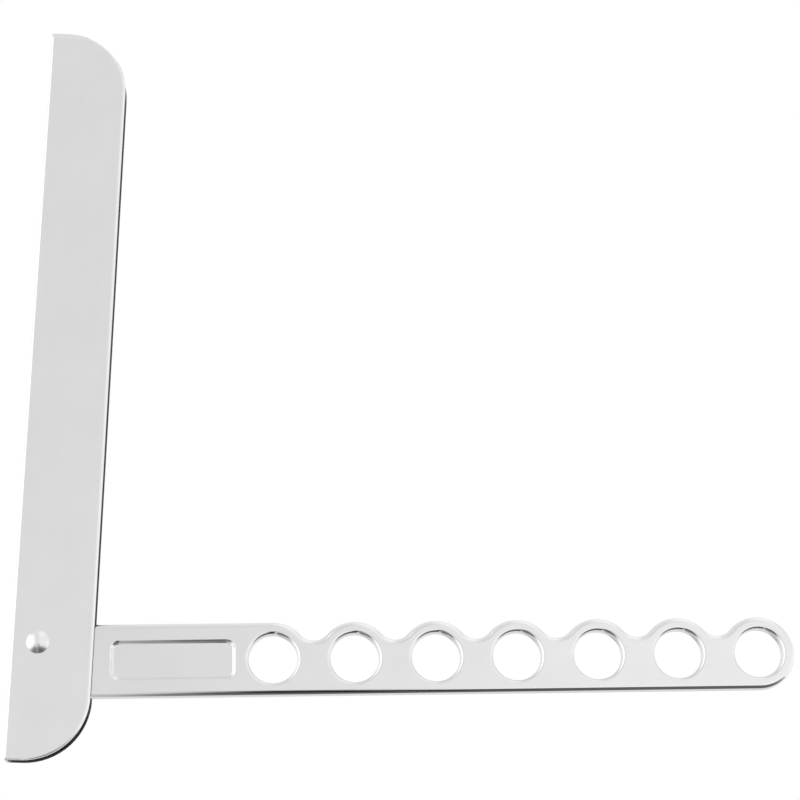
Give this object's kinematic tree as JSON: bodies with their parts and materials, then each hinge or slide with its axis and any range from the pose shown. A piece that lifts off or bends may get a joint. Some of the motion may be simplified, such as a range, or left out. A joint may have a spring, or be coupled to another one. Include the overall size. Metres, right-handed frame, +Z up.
{
  "type": "folding wall hook",
  "caption": "Folding clothes hook: a slim wall channel with a pivoted flat arm that has a row of hanger holes and folds up into the channel.",
  "frame": {"origin": "middle of the channel's back face, which lies on the wall", "axes": "+X out from the wall along the open arm, +Z up, Y across the channel's width"},
  "size_m": [0.3176, 0.0164, 0.3116],
  "materials": {
    "channel_aluminium": "satin, with polished edges",
    "arm_aluminium": "satin cast bar with polished rounded edges",
    "rivet_steel": "bright domed rivet",
    "spacer_nylon": "natural nylon washer"
  },
  "bodies": {
    "channel": {"wall_channel": "channel_aluminium", "pivot_rivet": "rivet_steel", "spacer_near": "spacer_nylon", "spacer_far": "spacer_nylon"},
    "arm": {"swing_arm": "arm_aluminium"}
  },
  "joints": [
    {"name": "arm_fold", "type": "hinge", "parent": "channel", "child": "arm", "pos_m": [0.0106, 0, -0.1088], "axis": [0, -1, 0], "range_deg": [0, 87.57]}
  ]
}
